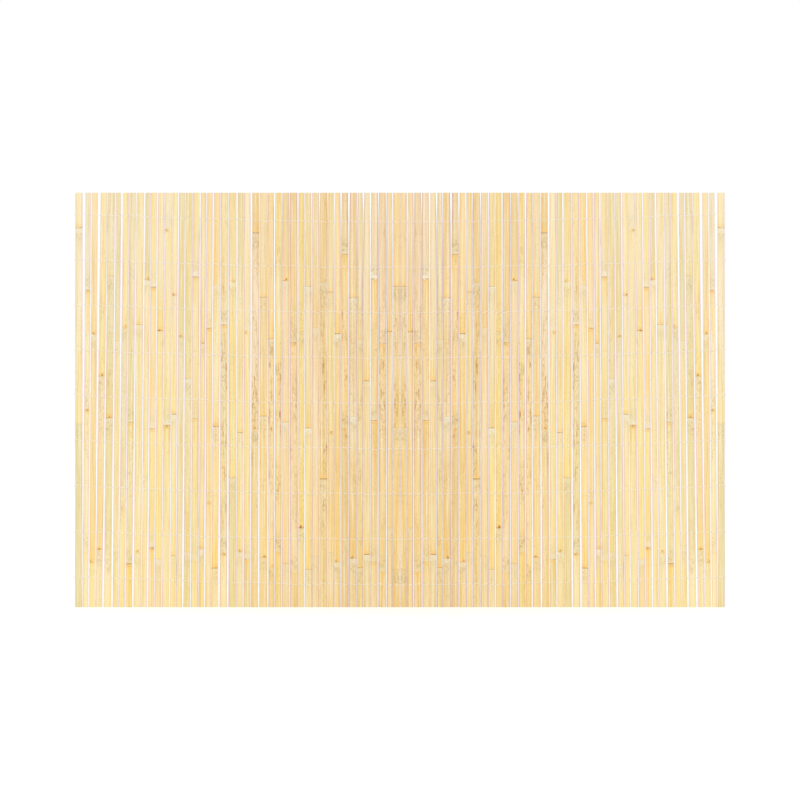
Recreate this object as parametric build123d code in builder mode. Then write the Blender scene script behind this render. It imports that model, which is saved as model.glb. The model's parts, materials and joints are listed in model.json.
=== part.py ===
from build123d import *
import os
from math import asin, atan2, cos, degrees, sin

os.makedirs("parts", exist_ok=True)

# A roll-out fence of split-bamboo slats that stand side by side, stitched together by rows of thread.
# X runs along the fence, the skin side of the slats faces -Y, and Z is up. Sizes are in millimetres.
# The origin is on the ground, under the middle of the fence. The two halves mirror each other.

# Slats: a little wider in the middle of the fence than at its ends, each somewhat off that width
FENCE_HEIGHT = 1000.0
SLATS_EACH_SIDE = 44
SLATS_IN_NODE = 2
SLAT_THICKNESS = 4.0
MIDDLE_SLAT_WIDTH = 16.6
END_SLAT_WIDTH = 15.8
WIDTH_SCATTER = 3.0
CANE_RADIUS = 36.0

# Lie of the slats: they nearly touch in the middle of the fence, and lean more and stand further apart
# towards its ends. The lean is how far the top of a slat stands to one side of its middle. The feet fan out
# towards both ends, most of all five sixths of the way there
LEAST_GAP = 0.4
EXTRA_END_GAP = 1.6
MIDDLE_LEAN_SCATTER = 1.2
END_LEAN_SCATTER = 2.8
FAN_LEAN = 5.0

# Joints of the cane, which stand out of the skin as rings
RING_RISE = 0.8
RING_CREST = 3.0
RING_SLOPE = 3.5

# Rows of stitching, which hang a little lower in the middle of the fence than at its ends
STITCH_ROWS = 9
LOWEST_ROW_HEIGHT = 55.0
TOP_ROW_DEPTH = 50.0
ROW_SAG = 20.0
THREAD_DIAMETER = 0.9
THREAD_SIDES = 6
THREAD_CLEARANCE = 0.1
THREAD_TAIL = 2.5

# Steps that scatter a property evenly over the slats
WIDTH_STEP = 0.7549
GAP_STEP = 0.6823
LEAN_STEP = 0.6180
LEAN_SHARE_STEP = 0.5698
RING_STEP = 0.4142


def scatter(index, step):
    """A repeatable value from -1 to 1 that jumps about from one slat to the next."""
    return 2 * ((index + 0.5) * step % 1) - 1


# Width, lean and place of each slat of one half, counted from the middle of the fence to its end
widths = []
leans = []
places = []
half_length = 0.0
for i in range(SLATS_EACH_SIDE):
    outwards = i / SLATS_EACH_SIDE
    width = MIDDLE_SLAT_WIDTH + (END_SLAT_WIDTH - MIDDLE_SLAT_WIDTH) * outwards
    width += WIDTH_SCATTER * scatter(i, WIDTH_STEP)
    lean = MIDDLE_LEAN_SCATTER + (END_LEAN_SCATTER - MIDDLE_LEAN_SCATTER) * outwards
    lean *= scatter(i, LEAN_STEP) * abs(scatter(i, LEAN_SHARE_STEP))
    lean -= FAN_LEAN * 15 * outwards ** 5 * (1 - outwards)
    if i == 0:
        gap = LEAST_GAP / 2 + abs(lean)
    else:
        gap = LEAST_GAP + EXTRA_END_GAP * outwards * scatter(i, GAP_STEP) ** 2 + abs(lean - leans[-1])
    widths.append(width)
    leans.append(lean)
    places.append(half_length + gap + width / 2)
    half_length += gap + width
half_length += abs(leans[-1])

row_pitch = (FENCE_HEIGHT - LOWEST_ROW_HEIGHT - TOP_ROW_DEPTH - ROW_SAG) / (STITCH_ROWS - 1)


def row_height(row, x):
    """Height of a row of stitching at x, on the shallow curve that the row hangs in."""
    return LOWEST_ROW_HEIGHT + row * row_pitch + ROW_SAG * (x / half_length) ** 2


def ring_heights(i):
    """Heights of a slat's rings, three to five rows apart and each well between two rows of stitching."""
    rows_apart = 3 + i * 7 % 3
    heights = []
    for row in range(i * 5 % rows_apart, STITCH_ROWS - 1, rows_apart):
        heights.append(row_height(row + 0.5 + scatter(i + row, RING_STEP) / 4, places[i]))
    return heights


def cane_wall(i):
    """Outline of the cane's wall as (radius, height), with the rings outside. It is twice as thick as the
    slat and a slat's thickness longer at both ends, for planing and sawing."""
    inside = CANE_RADIUS - 2 * SLAT_THICKNESS
    outline = [(inside, -SLAT_THICKNESS), (CANE_RADIUS, -SLAT_THICKNESS)]
    for height in ring_heights(i):
        outline.append((CANE_RADIUS, height - RING_CREST / 2 - RING_SLOPE))
        outline.append((CANE_RADIUS + RING_RISE, height - RING_CREST / 2))
        outline.append((CANE_RADIUS + RING_RISE, height + RING_CREST / 2))
        outline.append((CANE_RADIUS, height + RING_CREST / 2 + RING_SLOPE))
    top = FENCE_HEIGHT + SLAT_THICKNESS
    outline.append((CANE_RADIUS, top))
    outline.append((inside, top))
    return outline


# Slats: sectors of the cane's wall, leant into place, planed flat behind and sawn level at both ends
for first in range(0, SLATS_EACH_SIDE, SLATS_IN_NODE):
    number = f"{first // SLATS_IN_NODE + 1:02}"
    with BuildPart() as right_slats:
        for i in range(first, min(first + SLATS_IN_NODE, SLATS_EACH_SIDE)):
            half_angle = asin(widths[i] / 2 / CANE_RADIUS)
            lean_angle = atan2(leans[i], FENCE_HEIGHT / 2)
            foot = (places[i] - leans[i], CANE_RADIUS - SLAT_THICKNESS / 2, 0)
            upwards = Vector(sin(lean_angle), 0, cos(lean_angle))
            across = Vector(cos(lean_angle), 0, -sin(lean_angle))
            split_side = across * -sin(half_angle) + Vector(0, -cos(half_angle), 0)
            with BuildSketch(Plane(foot, x_dir=split_side, z_dir=split_side.cross(upwards))):
                with BuildLine():
                    Polyline(*cane_wall(i), close=True)
                make_face()
            revolve(axis=Axis(foot, upwards), revolution_arc=2 * degrees(half_angle))
        with BuildSketch(Plane.XY):
            with Locations((0, SLAT_THICKNESS / 2)):
                Rectangle(2 * half_length, CANE_RADIUS, align=(Align.CENTER, Align.MAX))
        extrude(amount=FENCE_HEIGHT, mode=Mode.INTERSECT)
    right_slats.part.label = f"slats_right_{number}"
    export_step(right_slats.part, f"parts/slats_right_{number}.step")

    with BuildPart() as left_slats:
        mirror(right_slats.part, about=Plane.YZ)
    left_slats.part.label = f"slats_left_{number}"
    export_step(left_slats.part, f"parts/slats_left_{number}.step")

# Rows of stitching: one strand along the skin sides of the slats and one along their backs
strand_offset = SLAT_THICKNESS / 2 + THREAD_CLEARANCE + THREAD_DIAMETER / 2
reach = half_length + THREAD_TAIL
for row in range(STITCH_ROWS):
    end_height = row_height(row, reach)
    with BuildPart() as stitch_row:
        for offset in (strand_offset, -strand_offset):
            with BuildLine(Plane.XZ.offset(offset)) as route:
                ThreePointArc((-reach, end_height), (0, row_height(row, 0)), (reach, end_height))
            with BuildSketch(Plane(route.line @ 0, z_dir=route.line % 0)):
                RegularPolygon(THREAD_DIAMETER / 2, THREAD_SIDES)
            sweep(path=route.line)
    stitch_row.part.label = f"stitch_row_{row + 1}"
    export_step(stitch_row.part, f"parts/stitch_row_{row + 1}.step")
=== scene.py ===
import json
import math

import bpy
import numpy as np
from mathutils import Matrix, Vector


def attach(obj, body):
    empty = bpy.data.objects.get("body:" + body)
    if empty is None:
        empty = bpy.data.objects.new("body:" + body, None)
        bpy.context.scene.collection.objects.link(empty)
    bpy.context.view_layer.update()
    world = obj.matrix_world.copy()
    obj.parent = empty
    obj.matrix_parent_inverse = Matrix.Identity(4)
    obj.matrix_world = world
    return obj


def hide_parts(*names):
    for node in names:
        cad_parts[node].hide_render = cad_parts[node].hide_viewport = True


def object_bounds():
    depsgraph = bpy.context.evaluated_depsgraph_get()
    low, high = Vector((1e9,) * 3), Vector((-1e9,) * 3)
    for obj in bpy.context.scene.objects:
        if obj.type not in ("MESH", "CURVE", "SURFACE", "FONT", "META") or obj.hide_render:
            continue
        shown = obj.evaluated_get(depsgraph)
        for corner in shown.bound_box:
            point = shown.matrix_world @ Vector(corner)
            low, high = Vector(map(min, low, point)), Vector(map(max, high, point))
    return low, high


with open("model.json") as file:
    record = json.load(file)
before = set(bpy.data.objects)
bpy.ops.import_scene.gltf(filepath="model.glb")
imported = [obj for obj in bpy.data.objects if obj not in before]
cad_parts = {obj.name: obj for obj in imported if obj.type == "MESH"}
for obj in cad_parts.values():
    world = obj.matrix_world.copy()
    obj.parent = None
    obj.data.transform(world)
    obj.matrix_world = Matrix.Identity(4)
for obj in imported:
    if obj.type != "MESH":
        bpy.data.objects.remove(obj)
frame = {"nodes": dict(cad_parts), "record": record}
cad_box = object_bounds()


# Slats: strips split from thick bamboo canes, 4 mm thick and as tall as the fence, with the cane's skin in front,
# two split edges, a planed back and sawn ends. The cane's joints cross each strip as rings. The two halves of the
# fence mirror each other, so a slat and its mirror image share their random draws.
HEIGHT = 1.0
HALF_LENGTH = cad_box[1][0]
THICKNESS = 0.004
CANE_RADIUS = 0.036
EDGE_CUT = (0.0004, 0.0021)
LEAST_CUT = 0.0003
MOST_CUT = 0.0024
BACK_EDGE_DEPTH = THICKNESS - 0.0007
BACK_CHAMFER = 0.0005
EDGE_TAPER = 0.0014
EDGE_RAGGED = 0.00009
EDGE_SETBACK = 0.0001
HEAD_CUT = 0.0028
SKIN_COLUMNS = 11
STATION_STEP = 0.0125
RING_RISE = 0.0008
RING_TILT = 0.07
RING_STATIONS = np.array([-14, -10, -7.5, -6, -5, -4.2, -3.4, -2.6, -1.8, -0.7, 0.3, 1.4, 2.6, 4, 6, 9]) / 1000


def srgb(red, green, blue):
    """A colour as it looks on a screen, 0 to 255, turned to the linear light that shaders work in."""
    share = np.array([red, green, blue]) / 255
    return np.where(share <= 0.04045, share / 12.92, ((share + 0.055) / 1.055) ** 2.4)


STRAW = srgb(250, 230, 168)
CREAM = srgb(251, 235, 193)
HONEY = srgb(252, 221, 156)
GOLD = srgb(249, 214, 136)
BEIGE = srgb(245, 224, 182)
ROSE = srgb(248, 219, 178)
LEMON = srgb(252, 230, 144)
OLIVE = srgb(231, 217, 157)
SAGE = srgb(238, 225, 176)
TAN = srgb(242, 213, 157)
CANE_TONES = {
    "tan_bamboo": (TAN, ROSE, BEIGE, HONEY),
    "honey_bamboo": (HONEY, GOLD, STRAW, LEMON),
    "straw_bamboo": (STRAW, CREAM, OLIVE, SAGE, LEMON),
    "olive_bamboo": (OLIVE, SAGE, LEMON, STRAW),
}
ZONE_TONES = np.array([srgb(231, 202, 153), srgb(247, 222, 166), srgb(255, 246, 216)])
# Split-edge tones from the middle of the fence to its ends: painted shade of the gaps between slats, darkest in the
# middle.
EDGE_SHADE_TONES = np.array([srgb(208, 172, 179), srgb(230, 198, 205), srgb(252, 221, 224)])
INNER_WOOD = srgb(246, 224, 182)


def node_points(name):
    """All points of a CAD node's mesh, in metres, one row each."""
    mesh = frame["nodes"][name].data
    points = np.empty(3 * len(mesh.vertices), dtype=np.float32)
    mesh.vertices.foreach_get("co", points)
    return points.reshape(-1, 3).astype(float)


def slats_in(name):
    """The two slats of a CAD node, the one nearer to the middle first: where each stands at its foot and its head,
    its width, and the heights of its rings. The corners of the planed backs part the slats from each other, and
    points that stand out of the skin are rings."""
    points = node_points(name)
    ends = []
    for level in (0, HEIGHT):
        end = points[np.abs(points[:, 2] - level) < 1e-5]
        corners = np.unique(end[end[:, 1] > 0.499 * THICKNESS, 0].round(6))
        border = (corners[1] + corners[2]) / 2
        first = end[end[:, 0] < border, 0]
        second = end[end[:, 0] > border, 0]
        ends.append((border, (first.min(), first.max()), (second.min(), second.max())))
    crests = points[points[:, 1] < -THICKNESS / 2 - RING_RISE / 2]
    border = ends[0][0] + (ends[1][0] - ends[0][0]) * crests[:, 2] / HEIGHT
    found = []
    for place in (1, 2):
        heights = np.sort(crests[(crests[:, 0] > border) == (place == 2), 2])
        groups = np.split(heights, np.flatnonzero(np.diff(heights) > 0.01) + 1)
        low, high = ends[0][place]
        found.append({
            "foot": (low + high) / 2,
            "head": sum(ends[1][place]) / 2,
            "width": high - low,
            "rings": np.array([(group[0] + group[-1]) / 2 for group in groups]),
        })
    return sorted(found, key=lambda slat: abs(slat["foot"]))


def ripple(along, draw, wavelength, height):
    """A slow unevenness: the sum of five sines with drawn wavelengths and phases, about as high as asked."""
    lengths = wavelength * draw.uniform(0.6, 1.8, 5)
    phases = draw.uniform(0, 2 * np.pi, 5)
    return height * np.sin(2 * np.pi * along[:, None] / lengths + phases).sum(axis=1) / math.sqrt(5)


def slat_surface(slat, side, tones, most_worn, draw):
    """One slat as a grid: stations up the cane by columns round the section, with what its materials need.

    In the cane's own polar coordinates the skin is at the cane's radius, the split edges lie on two radii, and the
    planed back is at (radius - thickness) / cos(angle). The split edges slant in to the skin, by a width that drifts
    up the slat, and keep the slat's full width behind that, down to mid-depth. Rings add bells to the radius, with
    the groove of the leaf sheath below. Heads of the middle slats narrow upwards. The section then leans from the
    slat's foot to its head.
    """
    rings = slat["rings"]
    levels = np.arange(0, HEIGHT + STATION_STEP / 2, STATION_STEP)
    levels = np.unique(np.concatenate([levels, (rings[:, None] + RING_STATIONS).ravel()]).round(4))

    half = math.asin(slat["width"] / 2 / CANE_RADIUS)
    cuts = [width * (1 + ripple(levels, draw, 0.3, 0.4)) for width in draw.uniform(*EDGE_CUT, 2)]
    left_cut, right_cut = np.clip(cuts, LEAST_CUT, MOST_CUT)[::side, :, None]
    share = np.linspace(0, 1, SKIN_COLUMNS)
    front = (left_cut / CANE_RADIUS - half) * (1 - share) + (half - right_cut / CANE_RADIUS) * share
    back = np.tile((half - BACK_CHAMFER / CANE_RADIUS) * (1 - 2 * share), (len(levels), 1))
    edge = np.full((len(levels), 1), half)
    angles = np.concatenate([front, edge, edge, edge, back, -edge, -edge, -edge], axis=1)
    depths = np.concatenate([
        0 * front, 0.8 * right_cut, 0 * edge + THICKNESS / 2, 0 * edge + BACK_EDGE_DEPTH,
        CANE_RADIUS - (CANE_RADIUS - THICKNESS) / np.cos(back),
        0 * edge + BACK_EDGE_DEPTH, 0 * edge + THICKNESS / 2, 0.8 * left_cut,
    ], axis=1)
    on_skin = np.arange(angles.shape[1]) < SKIN_COLUMNS

    nearest = np.abs(levels[:, None] - rings).argmin(axis=1)
    tilts = side * draw.uniform(-RING_TILT, RING_TILT, len(rings))
    off_centre = CANE_RADIUS * np.sin(angles)
    above_ring = 1000 * (levels - rings[nearest])[:, None] - 1000 * tilts[nearest][:, None] * off_centre
    from_ring = above_ring * (1 if draw.random() < 0.65 else -1)
    rise = np.exp(-(from_ring / 3.4) ** 2)
    sheath = 0.25 * np.exp(-((from_ring + 5.2) / 1.1) ** 2) - 0.32 * np.exp(-((from_ring + 3.4) / 0.8) ** 2)
    swelling = RING_RISE * (0.92 * rise + sheath) * on_skin
    swelling += ripple(levels, draw, 0.12, 0.00004)[:, None] * on_skin
    split = np.where(on_skin, 0, np.sign(angles)) * (np.abs(np.abs(angles) - half) < 1e-9)
    right_edge = ripple(levels, draw, 0.03, EDGE_RAGGED)
    left_edge = ripple(levels, draw, 0.03, EDGE_RAGGED)
    ragged = np.where(split > 0, right_edge[:, None], left_edge[:, None]) - EDGE_SETBACK
    full_width = depths * math.sin(half) * np.clip((BACK_EDGE_DEPTH - depths) / EDGE_TAPER, 0, 1)
    outwards = abs(slat["foot"]) / HALF_LENGTH
    head_cut = HEAD_CUT * np.interp(outwards, (0.05, 0.4, 0.7), (1, 0.3, 0.05)) * draw.uniform(0, 1, 2)[::side]
    head_rise = np.clip(1 - (HEIGHT - levels)[:, None] / draw.uniform(0.06, 0.17, 2)[::side], 0, 1)
    narrowing = 1 - head_rise ** 1.4 * head_cut / (slat["width"] / 2)

    reach = CANE_RADIUS - depths + swelling
    across = reach * np.sin(angles) + split * (full_width + ragged)
    across *= np.where(angles < 0, narrowing[:, :1], narrowing[:, 1:])
    deep = CANE_RADIUS - THICKNESS / 2 - reach * np.cos(angles)
    leant = slat["foot"] + (slat["head"] - slat["foot"]) * levels / HEIGHT
    upright = np.broadcast_to(levels[:, None], across.shape)
    points = np.stack([leant[:, None] + across, deep, upright], axis=-1)

    change = np.clip(above_ring / draw.uniform(2, 60, len(rings))[nearest][:, None] + 0.5, 0, 1)[..., None]
    uneven = np.interp(outwards, (0, 0.3), (0.13, 0.05))
    base = tones[0] * draw.uniform(0.97 - uneven, 0.97 + uneven)
    span_tones = np.array([
        base if draw.random() < 0.5 else tones[draw.integers(1, len(tones))] * draw.uniform(0.92, 1.02)
        for _ in range(len(rings) + 1)
    ])
    # The split edges take painted shade next to the skin, darker towards the middle of the fence, and turn to plain
    # inner wood deeper in.
    zone_tone, edge_shade_tone = [np.array([np.interp(outwards, (0, 0.45, 1), shade) for shade in tones_there.T])
                            for tones_there in (ZONE_TONES, EDGE_SHADE_TONES)]
    span_tones += (zone_tone - span_tones) * np.interp(outwards, (0.45, 0.7), (0.45, 0.34))
    skin_tones = span_tones[nearest][:, None] * (1 - change) + span_tones[nearest + 1][:, None] * change
    inwards = np.clip(1.6 * depths / THICKNESS - 0.3, 0, 1)[..., None]
    wear = np.full(across.shape, most_worn * (0.1 + draw.uniform(0, 1.1) ** 2))
    seed = np.full(across.shape, draw.uniform(0, 900))
    scars = np.stack([
        draw.uniform(0.1, 1, len(rings)) ** 1.8,
        draw.uniform(0, 1, len(rings)) ** 2,
        np.where(draw.random(len(rings)) < 0.1 + 0.4 * outwards, draw.uniform(-4, 4, len(rings)), 99),
    ], axis=-1)
    marks = {
        "grain": np.stack([1000 * (side * across + 0.7 * (deep + THICKNESS / 2)), 1000 * upright, seed], axis=-1),
        "tone": np.concatenate([skin_tones, wear[..., None]], axis=-1),
        "wood_and_edge_shade": edge_shade_tone + (INNER_WOOD - edge_shade_tone) * inwards,
        "round": np.broadcast_to(angles / half, across.shape),
        "ring": from_ring,
        "scar": scars[np.broadcast_to(nearest[:, None], across.shape)],
    }
    return points, marks


BAKE_LENGTH = 0.25
BAKE_STRIP = 0.048
BAKE_ROWS = BAKE_LENGTH + 0.016


def slat_bake_places(grid, place, faces, first):
    """Places on the map that holds the baked finish, for every corner of the faces. The wrapped section is cut into
    four lengths, which stand beside those of the other slat, and the sawn ends lie flat above them."""
    columns = grid.shape[1]
    loop = np.concatenate([grid[0], grid[0, :1]])
    round_section = np.concatenate([[0], np.cumsum(np.linalg.norm(np.diff(loop, axis=0), axis=1))])
    levels = grid[:, 0, 2]
    length = np.minimum((levels[:-1] + 1e-6) // BAKE_LENGTH, 3)
    strip = BAKE_STRIP * (2 * length + place) + 0.001
    shape = (len(levels) - 1, columns)
    here = np.broadcast_to(strip[:, None] + round_section[:-1], shape)
    beside = np.broadcast_to(strip[:, None] + round_section[1:], shape)
    low = np.broadcast_to((levels[:-1] - length * BAKE_LENGTH)[:, None] + 0.001, shape)
    high = np.broadcast_to((levels[1:] - length * BAKE_LENGTH)[:, None] + 0.001, shape)
    wall = np.stack([here, low, beside, low, beside, high, here, high], axis=-1).reshape(-1, 2)
    corners = np.concatenate(faces[shape[0] * columns:]) - first
    flat = grid.reshape(-1, 3)[corners]
    row = corners // columns
    across = flat[:, 0] - grid[row, :, 0].min(axis=1)
    strip_end = np.where(row == 0, BAKE_STRIP * place, BAKE_STRIP * (6 + place)) + 0.001
    ends = np.stack([strip_end + across, flat[:, 1] + BAKE_LENGTH + 0.009], axis=-1)
    return np.concatenate([wall, ends]) / (8 * BAKE_STRIP, BAKE_ROWS)


def slat_faces(stations, first):
    """Faces of one slat's grid, as corners, and the finish of each: 0 skin, 1 split edge, 2 planed back, 3 sawn end.
    Rows of four-sided faces wrap round the section, and strips from skin to back close the two ends."""
    columns = 2 * SKIN_COLUMNS + 6
    row = np.arange(stations - 1)[:, None] * columns
    here = np.arange(columns)
    beside = (here + 1) % columns
    wall = np.stack([row + here, row + beside, row + columns + beside, row + columns + here], axis=-1)
    finish = np.ones(columns, dtype=int)
    finish[:SKIN_COLUMNS - 1] = 0
    finish[SKIN_COLUMNS + 3:2 * SKIN_COLUMNS + 2] = 2
    skin = np.arange(SKIN_COLUMNS)
    back = 2 * SKIN_COLUMNS + 2 - skin
    cap = np.stack([skin[:-1], skin[1:], back[1:], back[:-1]], axis=-1).tolist()
    cap.append(list(range(SKIN_COLUMNS - 1, SKIN_COLUMNS + 4)))
    cap.append(list(range(2 * SKIN_COLUMNS + 2, columns)) + [0])
    top = (stations - 1) * columns
    faces = (wall.reshape(-1, 4) + first).tolist()
    faces += [[first + top + corner for corner in face] for face in cap]
    faces += [[first + corner for corner in reversed(face)] for face in cap]
    finishes = np.concatenate([np.tile(finish, stations - 1), np.full(2 * len(cap), 3)])
    return faces, finishes


def add_piece(name, points, faces, marks, bake_places, finishes, materials):
    """A mesh object with its points in place, its marks as point attributes, a map for baking and a material for
    every face."""
    mesh = bpy.data.meshes.new(name)
    mesh.from_pydata(points, [], faces)
    kinds = {1: ("FLOAT", "value"), 3: ("FLOAT_VECTOR", "vector"), 4: ("FLOAT_COLOR", "color")}
    for mark, values in marks.items():
        kind, field = kinds[values.shape[1]]
        layer = mesh.attributes.new(mark, kind, "POINT")
        layer.data.foreach_set(field, values.astype(np.float32).ravel())
    mesh.uv_layers.new(name="OFBake").data.foreach_set("uv", bake_places.astype(np.float32).ravel())
    for material in materials:
        mesh.materials.append(material)
    mesh.polygons.foreach_set("material_index", finishes)
    mesh.shade_smooth()
    mesh.set_sharp_from_angle(angle=math.radians(40))
    piece = bpy.data.objects.new(name, mesh)
    bpy.context.scene.collection.objects.link(piece)
    return piece


class Shade:
    """A value in a material's nodes. Sums and products of values add Math nodes, and node() adds any other node."""

    def __init__(self, tree, output=None):
        self.tree = tree
        self.output = output

    def node(self, kind, settings=None, inputs=None, output=0):
        made = self.tree.nodes.new(kind)
        for setting, value in (settings or {}).items():
            setattr(made, setting, value)
        for place, value in (inputs or {}).items():
            if isinstance(value, Shade):
                self.tree.links.new(value.output, made.inputs[place])
            else:
                made.inputs[place].default_value = value
        return Shade(self.tree, made.outputs[output] if made.outputs else None)

    def math(self, operation, first, second):
        return self.node("ShaderNodeMath", {"operation": operation}, {0: first, 1: second})

    def __add__(self, other):
        return self.math("ADD", self, other)

    def __sub__(self, other):
        return self.math("SUBTRACT", self, other)

    def __rsub__(self, other):
        return self.math("SUBTRACT", other, self)

    def __mul__(self, other):
        return self.math("MULTIPLY", self, other)

    __radd__ = __add__
    __rmul__ = __mul__

    def smooth(self, start, end):
        """0 before start and 1 after end, with a soft step between."""
        return self.node("ShaderNodeMapRange", {"interpolation_type": "SMOOTHSTEP"},
                         {"Value": self, "From Min": start, "From Max": end})

    def bell(self, centre, reach):
        """1 at centre, falling softly to 0 at that reach on both sides."""
        place = (self - centre) * (1 / reach)
        hump = self.math("MAXIMUM", 1 - place * place, 0)
        return hump * hump

    def mark(self, name, output="Fac"):
        return self.node("ShaderNodeAttribute", {"attribute_name": name}, output=output)

    def scaled(self, *factors):
        return self.node("ShaderNodeVectorMath", {"operation": "MULTIPLY"}, {0: self, 1: factors})

    def cloud(self, detail=2.0, roughness=0.5):
        """Noise that has its unit of size in the vector that it reads, so the vector is scaled first."""
        return self.node("ShaderNodeTexNoise", None,
                         {"Vector": self, "Scale": 1.0, "Detail": detail, "Roughness": roughness})

    def toward(self, colour, share):
        """This colour, mixed with another by share."""
        return self.node("ShaderNodeMix", {"data_type": "RGBA"}, {0: share, 6: self, 7: colour}, output=2)

    def dyed(self, red, green, blue):
        """This colour times a fixed tint."""
        return self.scaled(red, green, blue)

    def bump(self, strength, distance):
        return self.node("ShaderNodeBump", None, {"Height": self, "Strength": strength, "Distance": distance})


def new_finish(name):
    """An empty material and the start of its nodes."""
    material = bpy.data.materials.new(name)
    material.use_nodes = True
    material.node_tree.nodes.clear()
    return material, Shade(material.node_tree)


def close_finish(start, colour, roughness, normal, gloss=0.4):
    """Ends a material in one glossy plastic-like surface."""
    surface = start.node("ShaderNodeBsdfPrincipled", None, {
        "Base Color": colour, "Roughness": roughness, "Normal": normal, "Specular IOR Level": gloss})
    start.node("ShaderNodeOutputMaterial", None, {"Surface": surface})


def opaque(colour):
    return (*colour, 1.0)


# The skin: each span between rings has its own tone, drawn out in bands and fibres up the slat. A ring has a brown
# scar of the leaf sheath, a paler waxy band below it and now and then the eye of a bud.
bamboo_skin, start = new_finish("bamboo_skin")
grain = start.mark("grain", "Vector")
tone = start.mark("tone", "Color")
wear = start.mark("tone", "Alpha")
bend = start.mark("round")
from_ring = start.mark("ring")
scar = start.mark("scar", "Vector")
across = grain.node("ShaderNodeSeparateXYZ", None, {0: grain}, 0)
along = grain.node("ShaderNodeSeparateXYZ", None, {0: grain}, 1)
line_share = scar.node("ShaderNodeSeparateXYZ", None, {0: scar}, 0)
bloom_share = scar.node("ShaderNodeSeparateXYZ", None, {0: scar}, 1)
bud_place = scar.node("ShaderNodeSeparateXYZ", None, {0: scar}, 2)
bands = grain.scaled(1 / 5.5, 1 / 320, 1).cloud()
stripes = grain.scaled(1 / 1.7, 1 / 170, 1).cloud()
sap_lines = grain.scaled(1 / 0.9, 1 / 80, 1).cloud(1.0).smooth(0.63, 0.73)
fibres = grain.scaled(1 / 0.25, 1 / 40, 1).cloud(3.0)
mottle = grain.scaled(1 / 3.6, 1 / 8, 1).cloud(4.0, 0.65)
specks = grain.scaled(1 / 1.4, 1 / 2.6, 1).cloud(1.0).smooth(0.7, 0.77)
smudges = grain.scaled(1 / 3.4, 1 / 30, 1).cloud(3.0).smooth(0.53, 0.68)
patches = grain.scaled(1 / 3.2, 1 / 3.2, 1).cloud(3.0)
blots = grain.scaled(1 / 6, 1 / 6, 1).cloud(3.0)

worn = wear * grain.scaled(1 / 14, 1 / 90, 1).cloud().smooth(0.42, 0.62) * (0.3 + 0.75 * along.bell(480, 450))

colour = tone.toward(tone.dyed(1.0, 0.9, 0.68), bands.smooth(0.5, 0.64) * 0.8)
colour = colour.toward(opaque(srgb(248, 229, 204)), bands.smooth(0.46, 0.34) * 0.6)
colour = colour.toward(colour.dyed(0.86, 0.81, 0.68), stripes.smooth(0.53, 0.7) * 0.8)
colour = colour.toward(opaque(srgb(255, 246, 220)), stripes.smooth(0.45, 0.3) * 0.55)
# Painted shade: the skin turns darker and warmer towards both edges of the slat, as the curved skin turns from the
# light.
colour = colour.toward(colour.dyed(0.97, 0.89, 0.74), (bend * bend).smooth(0.35, 1.0) * 0.6)
# Painted light: the skin turns warmer and deeper yellow towards the bottom, up to 0.8 m, so the top looks paler, as
# washed by the lamp's sheen.
colour = colour.toward(colour.dyed(1.03, 1.02, 0.88), along.smooth(800, 100) * 0.8)
colour = colour.toward(opaque(srgb(184, 136, 76)), sap_lines * (0.2 + 0.55 * worn))
colour = colour.toward(colour.dyed(0.9, 0.85, 0.76), fibres.smooth(0.5, 0.75) * 0.4)
colour = colour.toward(opaque(srgb(208, 172, 110)), mottle.smooth(0.48, 0.66) * (0.06 + 0.9 * worn))
colour = colour.toward(opaque(srgb(192, 134, 62)), smudges * worn * wear * 0.9)
colour = colour.toward(opaque(srgb(150, 104, 54)), specks * (0.2 + 0.8 * worn) * 0.8)

from_scar = from_ring + (blots - 0.5) * 16
part_way = blots.smooth(0.3, 0.5)
ripening = from_scar.smooth(150, 0) * from_scar.smooth(-2.5, -0.5)
colour = colour.toward(colour.dyed(1.02, 0.96, 0.74), ripening * ripening * (0.15 + 0.85 * line_share))
paling = from_scar.smooth(-130, -10) * from_ring.smooth(-1, -4)
colour = colour.toward(opaque(srgb(236, 220, 176)), paling * paling * (0.1 + 0.5 * bloom_share))
glow = from_scar.bell(2, 8) * from_ring.smooth(-3, -1) * part_way
colour = colour.toward(opaque(srgb(246, 196, 104)), glow * line_share * 0.75)
bloom = from_scar.bell(-7, 15) * from_ring.smooth(-0.5, -4) * bloom_share
colour = colour.toward(opaque(srgb(248, 240, 216)), bloom * patches.smooth(0.3, 0.6))
mould = from_scar.bell(-22, 26) * mottle.smooth(0.42, 0.6) * from_ring.smooth(-2, -6)
colour = colour.toward(opaque(srgb(196, 172, 120)), mould * (0.15 + 0.6 * wear))
groove = (from_ring + patches * 1.5).bell(-1.7, 1.7) * line_share * part_way
colour = colour.toward(opaque(srgb(156, 100, 46)), groove * 0.9)
bud_across = (across - bud_place) * (1 / 4)
bud_along = from_ring * (1 / 5)
bud = bud_across * bud_across + bud_along * bud_along
colour = colour.toward(opaque(srgb(246, 204, 120)), bud.smooth(2.6, 0.6) * 0.5)
eye = (1.0 - bud + (patches - 0.5) * 6).smooth(0.5, 1.5) * bud.smooth(1.9, 1.1)
colour = colour.toward(opaque(srgb(140, 78, 28)), eye * (0.65 + 0.3 * line_share))

relief = fibres * 0.35 + stripes * 0.3 - groove * 0.8 - eye * 0.5 - specks * 0.4
roughness = 0.46 + 0.14 * fibres + 0.2 * bloom
close_finish(start, colour, roughness, relief.bump(0.35, 0.0003))


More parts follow.
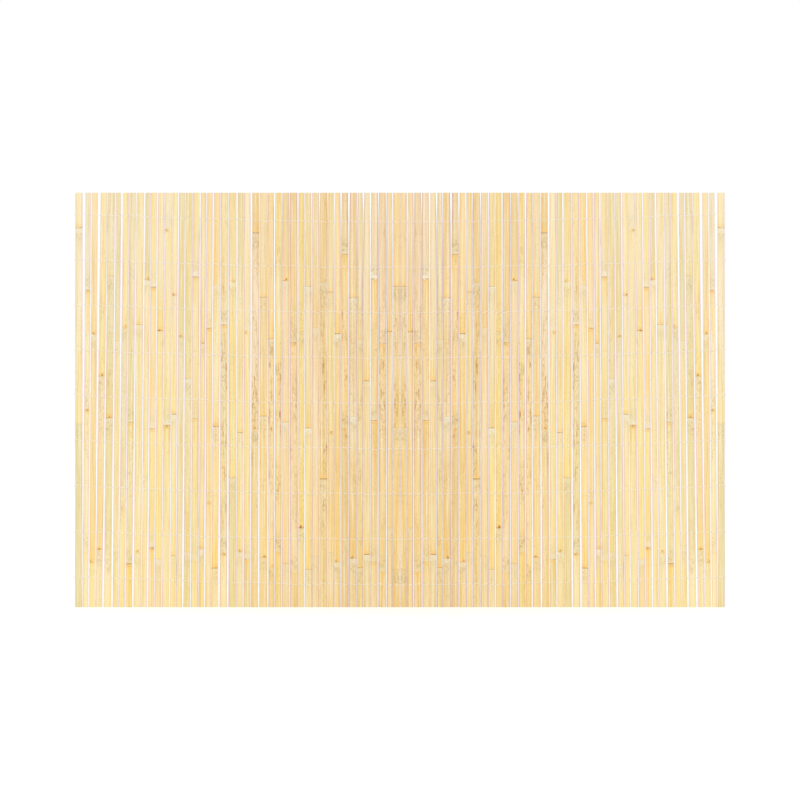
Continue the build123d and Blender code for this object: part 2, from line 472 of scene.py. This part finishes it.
# The split edges: pale wood fibres, opened along the grain by the knife. Next to the skin they carry painted shade:
# a pink-lavender tone for the shaded gaps between the slats, darkest in the middle of the fence.
split_edge, start = new_finish("split_edge")
grain = start.mark("grain", "Vector")
fibres = grain.scaled(1 / 0.3, 1 / 60, 1).cloud(3.0)
shreds = grain.scaled(1 / 0.8, 1 / 12, 1).cloud()
stain = grain.scaled(1 / 6, 1 / 140, 1).cloud()
wood_and_edge_shade = start.mark("wood_and_edge_shade", "Vector")
colour = wood_and_edge_shade.toward(wood_and_edge_shade.dyed(0.9, 0.82, 0.74), fibres.smooth(0.52, 0.75) * 0.5)
colour = colour.toward(opaque(srgb(178, 128, 92)), stain.smooth(0.62, 0.72) * 0.5)
close_finish(start, colour, 0.7 + 0.15 * fibres, (fibres + 0.6 * shreds).bump(0.5, 0.0004), 0.25)


# The planed back: softer inner wood with brown threads of sap vessels, the knife's fine chatter, and a darker band
# where the wall across the cane's joint was cut away.
planed_back, start = new_finish("planed_back")
grain = start.mark("grain", "Vector")
from_ring = start.mark("ring")
vessels = grain.scaled(1 / 0.5, 1 / 70, 1).cloud(3.0)
bands = grain.scaled(1 / 4, 1 / 200, 1).cloud()
chatter = grain.scaled(1 / 30, 1 / 1.5, 1).cloud(1.0)
colour = start.mark("tone", "Color").toward(opaque(srgb(252, 236, 200)), 0.6)
colour = colour.toward(opaque(srgb(240, 210, 150)), bands.smooth(0.48, 0.7) * 0.5)
colour = colour.toward(opaque(srgb(200, 154, 94)), vessels.smooth(0.56, 0.76) * 0.5)
joint = from_ring.bell(0, 6)
colour = colour.toward(opaque(srgb(202, 152, 90)), joint * 0.55)
relief = vessels * 0.7 + chatter * 0.4 - joint * 0.3
close_finish(start, colour, 0.68 + 0.15 * vessels, relief.bump(0.5, 0.0004), 0.25)


# The sawn ends: cut vessels show as brown dots, close together under the skin and sparse towards the back.
sawn_end, start = new_finish("sawn_end")
place = start.node("ShaderNodeTexCoord", output="Object")
dots = start.node("ShaderNodeTexVoronoi", None, {"Vector": place, "Scale": 1400.0, "Randomness": 0.9})
depth = place.node("ShaderNodeSeparateXYZ", None, {0: place}, 1)
kerf = place.scaled(2500, 300, 300).cloud()
near_skin = depth.smooth(0.002, -0.002)
vessels = dots.smooth(0.45, 0.25) * (0.35 + 0.65 * near_skin)
colour = start.mark("tone", "Color").toward(opaque(srgb(238, 216, 174)), 0.5)
colour = colour.toward(opaque(srgb(150, 104, 58)), vessels * 0.75)
colour = colour.toward(opaque(srgb(205, 172, 120)), kerf.smooth(0.5, 0.7) * 0.4)
close_finish(start, colour, 0.78 + 0.1 * kerf, (kerf - vessels * 0.6).bump(0.5, 0.0003), 0.25)


slot_of = {part["node"]: part["material_slot"] for part in frame["record"]["subparts"]}
slat_nodes = sorted(name for name in frame["nodes"] if name.startswith("slats_"))
right_slats = []
for name in slat_nodes:
    side = 1 if "right" in name else -1
    number = int(name[-2:])
    surfaces, marks, faces, bakes, finishes = [], [], [], [], []
    first = 0
    for place, slat in enumerate(slats_in(name)):
        draw = np.random.default_rng(700 + 2 * number + place)
        most_worn = np.interp(number, (1, 2, 8, 14, 22), (0.8, 1.1, 1.0, 0.6, 0.35))
        grid, slat_marks = slat_surface(slat, side, CANE_TONES[slot_of[name]], most_worn, draw)
        slat_corners, slat_finishes = slat_faces(len(grid), first)
        bakes.append(slat_bake_places(grid, place, slat_corners, first))
        surfaces.append(grid.reshape(-1, 3))
        marks.append({mark: values.reshape(surfaces[-1].shape[0], -1) for mark, values in slat_marks.items()})
        faces += slat_corners
        finishes.append(slat_finishes)
        first += surfaces[-1].shape[0]
        if side > 0:
            right_slats.append(slat)
    joined = {mark: np.concatenate([each[mark] for each in marks]) for mark in marks[0]}
    piece = add_piece(name + "_split", np.concatenate(surfaces), faces, joined, np.concatenate(bakes),
                      np.concatenate(finishes), [bamboo_skin, split_edge, planed_back, sawn_end])
    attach(piece, "root")
    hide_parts(name)


# Stitching: rows of two thin white cotton-like threads. One thread passes in front of a slat and the other behind
# it, and they change places in every gap, the one that goes back above the other. A small knot ends each row.
THREAD_RADIUS = 0.00044
THREAD_SIDES = 6
STEPS = 3
CROSSING_RISE = 0.0013
KNOT_RADIUS = 0.0011
right_slats.sort(key=lambda slat: slat["foot"])


def smooth_route(stops):
    """A curve through the stops, with a cubic between each two whose ends point along their neighbours' chord."""
    before = np.concatenate([stops[:1], stops[:-1]])
    after = np.concatenate([stops[1:], stops[-1:]])
    pull = (after - before) / 2
    share = (np.arange(STEPS) / STEPS)[:, None]
    near, far = stops[:-1, None], stops[1:, None]
    leave, arrive = pull[:-1, None], pull[1:, None]
    curve = ((2 * share ** 3 - 3 * share ** 2 + 1) * near + (share ** 3 - 2 * share ** 2 + share) * leave
             + (3 * share ** 2 - 2 * share ** 3) * far + (share ** 3 - share ** 2) * arrive)
    return np.concatenate([curve.reshape(-1, stops.shape[1]), stops[-1:]])


def half_strand(row_height, in_front, draw):
    """Stops of a strand from the middle of the fence to the last slat of the right half, with its radius at each.
    Over a slat's skin it follows the skin's arc, behind it is straight, and in a gap it goes through between the
    two split edges, which pinch it where they stand close."""
    tall = row_height(0)
    level = tall / HEIGHT
    centres = np.array([slat["foot"] + (slat["head"] - slat["foot"]) * level for slat in right_slats])
    halves = np.array([slat["width"] / 2 for slat in right_slats])
    count = len(centres)
    inner = centres - halves
    outer = centres + halves
    gaps = np.concatenate([[0], (outer[:-1] + inner[1:]) / 2, [outer[-1] + 0.0008]])
    front = (np.arange(count) % 2 == 0) == in_front
    shares = np.array([-0.98, -0.5, 0, 0.5, 0.98])
    x = centres[:, None] + halves[:, None] * shares
    sag = CANE_RADIUS - np.sqrt(CANE_RADIUS ** 2 - (halves[:, None] * shares) ** 2)
    skin = -THICKNESS / 2 + sag - THREAD_RADIUS - 0.00004
    y = np.where(front[:, None], skin, THICKNESS / 2 + THREAD_RADIUS + 0.00004)
    rises = CROSSING_RISE * draw.uniform(0.45, 1.3, count + 1)
    climb = rises[:-1, None] * (1 - shares) / 2 * -1 + rises[1:, None] * (1 + shares) / 2
    slope = np.where(front, 1, -1)[:, None] * climb
    wander = ripple(centres, draw, 0.16, 0.0011)[:, None] + draw.uniform(-0.0005, 0.0005, count)[:, None]
    z = row_height(x) + slope + wander
    on_slats = np.stack([x, y, z], axis=-1)
    way_in = np.where(front, 1, -1) * 0.0007
    through_height = row_height(gaps[1:]) + np.where(front, 1, -1) * rises[1:]
    through = np.stack([gaps[1:], np.zeros(count), through_height], axis=-1)
    through[:, 2] += wander[:, 0]
    first_through = through + np.stack([0 * way_in, -way_in, 0 * way_in], axis=-1)
    second_through = through + np.stack([0 * way_in, way_in, 0 * way_in], axis=-1)
    stops = np.concatenate([on_slats, first_through[:, None], second_through[:, None]], axis=1)
    radii = np.full(stops.shape[:2], THREAD_RADIUS)
    radii[:-1, 5:] = np.minimum((inner[1:] - outer[:-1]) / 2, THREAD_RADIUS)[:, None]
    return stops.reshape(-1, 3), radii.ravel()


def thread_tube(route, radii):
    """A round tube along a route: circles square to the curve, set out from one slanting direction."""
    along = np.gradient(route, axis=0)
    along /= np.linalg.norm(along, axis=1)[:, None]
    sideways = np.cross(along, (0.31, 0.52, 0.8))
    sideways /= np.linalg.norm(sideways, axis=1)[:, None]
    upwards = np.cross(along, sideways)
    turn = 2 * np.pi * np.arange(THREAD_SIDES) / THREAD_SIDES
    ring = np.cos(turn)[:, None] * sideways[:, None] + np.sin(turn)[:, None] * upwards[:, None]
    points = route[:, None] + radii[:, None, None] * ring
    run = np.concatenate([[0], np.cumsum(np.linalg.norm(np.diff(route, axis=0), axis=1))])
    lay = np.stack([np.broadcast_to(1000 * run[:, None], points.shape[:2]),
                    np.broadcast_to(turn, points.shape[:2]), 0 * points[..., 0]], axis=-1)
    return points, lay


THREAD_BAKE_RUN = 0.1


def thread_bake_places(lay, rows):
    """Places of a tube's corners on the map for baking: runs of a tenth of a metre lie above each other, each as
    high as the way round the thread, and the two ends are small patches in the top row."""
    run = lay[:, 0, 0] / 1000
    length = run[:-1] // THREAD_BAKE_RUN
    shape = (len(run) - 1, THREAD_SIDES)
    here = np.arange(THREAD_SIDES) / (THREAD_SIDES + 1)
    beside = here + 1 / (THREAD_SIDES + 1)
    low = np.broadcast_to((rows[0] + length)[:, None] + here, shape)
    high = np.broadcast_to((rows[0] + length)[:, None] + beside, shape)
    near = np.broadcast_to((run[:-1] - length * THREAD_BAKE_RUN)[:, None], shape)
    far = np.broadcast_to((run[1:] - length * THREAD_BAKE_RUN)[:, None], shape)
    wall = np.stack([near, low, near, high, far, high, far, low], axis=-1).reshape(-1, 2)
    turn = lay[0, :, 1]
    patch = np.stack([0.004 * np.cos(turn), 0.3 * np.sin(turn)], axis=-1)
    ends = np.concatenate([patch[::-1] + (0.01, rows[1] - 0.5), patch + (0.03, rows[1] - 0.5)])
    return wall, ends


def tube_faces(stations, first):
    """Four-sided faces round a tube and a six-sided one at each end."""
    row = np.arange(stations - 1)[:, None] * THREAD_SIDES
    here = np.arange(THREAD_SIDES)
    beside = (here + 1) % THREAD_SIDES
    wall = np.stack([row + here, row + beside, row + THREAD_SIDES + beside, row + THREAD_SIDES + here], axis=-1)
    faces = (wall.reshape(-1, 4) + first).tolist()
    faces.append((first + here[::-1]).tolist())
    faces.append((first + (stations - 1) * THREAD_SIDES + here).tolist())
    return faces


def knot_stops(end):
    """Stops of a small overhand knot and its short tail: a trefoil beside the end of the row, then a way down."""
    turn = np.linspace(0.3, 2 * np.pi, 16)
    trefoil = np.stack([np.sin(turn) + 2 * np.sin(2 * turn), -0.9 * np.sin(3 * turn),
                        np.cos(turn) - 2 * np.cos(2 * turn)], axis=-1) * KNOT_RADIUS / 3
    tail = np.array([[0.0002, 0, -0.0022], [0.0003, -0.0002, -0.0045], [0, 0, -0.007]])
    return end + np.concatenate([trefoil, tail])


white_thread, start = new_finish("white_thread")
lay = start.mark("lay", "Vector")
run = lay.node("ShaderNodeSeparateXYZ", None, {0: lay}, 0)
turn = lay.node("ShaderNodeSeparateXYZ", None, {0: lay}, 1)
twist = start.node("ShaderNodeMath", {"operation": "SINE"}, {0: run * (2 * math.pi / 0.9) + turn * 2})
soil = lay.scaled(1 / 9, 1, 1).cloud(3.0)
colour = start.node("ShaderNodeMix", {"data_type": "RGBA"}, {
    0: soil.smooth(0.5, 0.8) * 0.4, 6: opaque(srgb(254, 253, 250)), 7: opaque(srgb(232, 224, 206))}, 2)
close_finish(start, colour, 0.62 + 0.1 * soil, (twist * 0.5 + soil * 0.3).bump(0.5, 0.0002), 0.3)

stitch_nodes = sorted(name for name in frame["nodes"] if name.startswith("stitch_"))
for name in stitch_nodes:
    number = int(name[-1])
    strand_points = node_points(name)
    row_height = np.poly1d(np.polyfit(strand_points[:, 0], strand_points[:, 2], 2))
    points, lays, faces, bakes = [], [], [], []
    first = 0
    for in_front in (True, False):
        half, radii = half_strand(row_height, in_front, np.random.default_rng(40 + number))
        end = half[-1] * (1, 0, 1) + (0.0007, 0, 0)
        beyond = knot_stops(end) if in_front else end[None]
        half = np.concatenate([half, beyond])
        radii = np.concatenate([radii, np.full(len(beyond), THREAD_RADIUS)])
        stops = np.concatenate([half, radii[:, None]], axis=1)
        route = smooth_route(np.concatenate([stops[::-1] * (-1, 1, 1, 1), stops]))
        tube, lay_marks = thread_tube(route[:, :3], route[:, 3])
        faces += tube_faces(len(route), first)
        bakes += thread_bake_places(lay_marks, (0, 50) if in_front else (50, 100))
        points.append(tube.reshape(-1, 3))
        lays.append(lay_marks.reshape(-1, 3))
        first += points[-1].shape[0]
    bake_places = np.concatenate(bakes) / (1.05 * THREAD_BAKE_RUN, 100)
    piece = add_piece(name + "_threads", np.concatenate(points), faces, {"lay": np.concatenate(lays)}, bake_places,
                      np.zeros(len(faces), dtype=int), [white_thread])
    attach(piece, "root")
    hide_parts(name)


# Studio: a plain white floor, which stays white to the camera but keeps the fence's shadow, a white world and one
# large soft lamp, far off in front of the fence.
FLOOR_REACH = 30
LAMP_DISTANCE = 16.5
LAMP_HEIGHT = 3.6
FLOOR_CORNERS = [(-FLOOR_REACH, -FLOOR_REACH), (FLOOR_REACH, -FLOOR_REACH),
                 (FLOOR_REACH, FLOOR_REACH), (-FLOOR_REACH, FLOOR_REACH)]
floor_mesh = bpy.data.meshes.new("studio_floor")
floor_mesh.from_pydata([(x, y, 0) for x, y in FLOOR_CORNERS], [], [(0, 1, 2, 3)])
studio_floor = bpy.data.objects.new("studio_floor", floor_mesh)
bpy.context.scene.collection.objects.link(studio_floor)
floor_paint, start = new_finish("floor_paint")
rays = start.node("ShaderNodeLightPath", output="Is Camera Ray")
matt = start.node("ShaderNodeBsdfDiffuse", None, {"Color": (0.82, 0.82, 0.82, 1)})
lift = start.node("ShaderNodeEmission", None, {"Color": (1, 1, 1, 1), "Strength": 0.4})
both = start.node("ShaderNodeAddShader", None, {0: matt, 1: lift})
seen = start.node("ShaderNodeMixShader", None, {0: rays, 1: matt, 2: both})
start.node("ShaderNodeOutputMaterial", None, {"Surface": seen})
floor_mesh.materials.append(floor_paint)

world = bpy.data.worlds.new("studio_world")
bpy.context.scene.world = world
world.use_nodes = True
world.node_tree.nodes.clear()
sky = Shade(world.node_tree)
path = [sky.node("ShaderNodeLightPath", output=kind)
        for kind in ("Is Camera Ray", "Is Glossy Ray", "Is Transmission Ray")]
shown = sky.math("MINIMUM", path[0] + path[1] + path[2], 1.0)
fill = sky.node("ShaderNodeBackground", None, {"Color": (1, 1, 1, 1), "Strength": 0.75})
plain = sky.node("ShaderNodeBackground", None, {"Color": (1, 1, 1, 1), "Strength": 1.0})
mixed = sky.node("ShaderNodeMixShader", None, {0: shown, 1: fill, 2: plain})
sky.node("ShaderNodeOutputWorld", None, {"Surface": mixed})

lamp = bpy.data.lights.new("soft_lamp", "AREA")
lamp.shape = "RECTANGLE"
lamp.size = 12.0
lamp.size_y = 6.0
lamp.energy = 935.0
soft_lamp = bpy.data.objects.new("soft_lamp", lamp)
soft_lamp.location = (0, -LAMP_DISTANCE, LAMP_HEIGHT)
soft_lamp.rotation_euler = (math.atan2(LAMP_DISTANCE, LAMP_HEIGHT - HEIGHT / 2), 0, 0)
bpy.context.scene.collection.objects.link(soft_lamp)

# The camera stands square to the fence, far off, as for a catalogue picture: the slats take up 650 of 800 pixels.
CAMERA_DISTANCE = 9.0
last_slat = right_slats[-1]
view_width = 2 * (max(last_slat["foot"], last_slat["head"]) + last_slat["width"] / 2) * 800 / 650
lens = bpy.data.cameras.new("front_camera")
lens.sensor_width = 36.0
lens.lens = 36.0 * CAMERA_DISTANCE / view_width
lens.clip_end = 100.0
front_camera = bpy.data.objects.new("front_camera", lens)
front_camera.location = (0, -CAMERA_DISTANCE, HEIGHT / 2)
front_camera.rotation_euler = (math.pi / 2, 0, 0)
bpy.context.scene.collection.objects.link(front_camera)
bpy.context.scene.camera = front_camera
bpy.context.scene.view_settings.view_transform = "Standard"
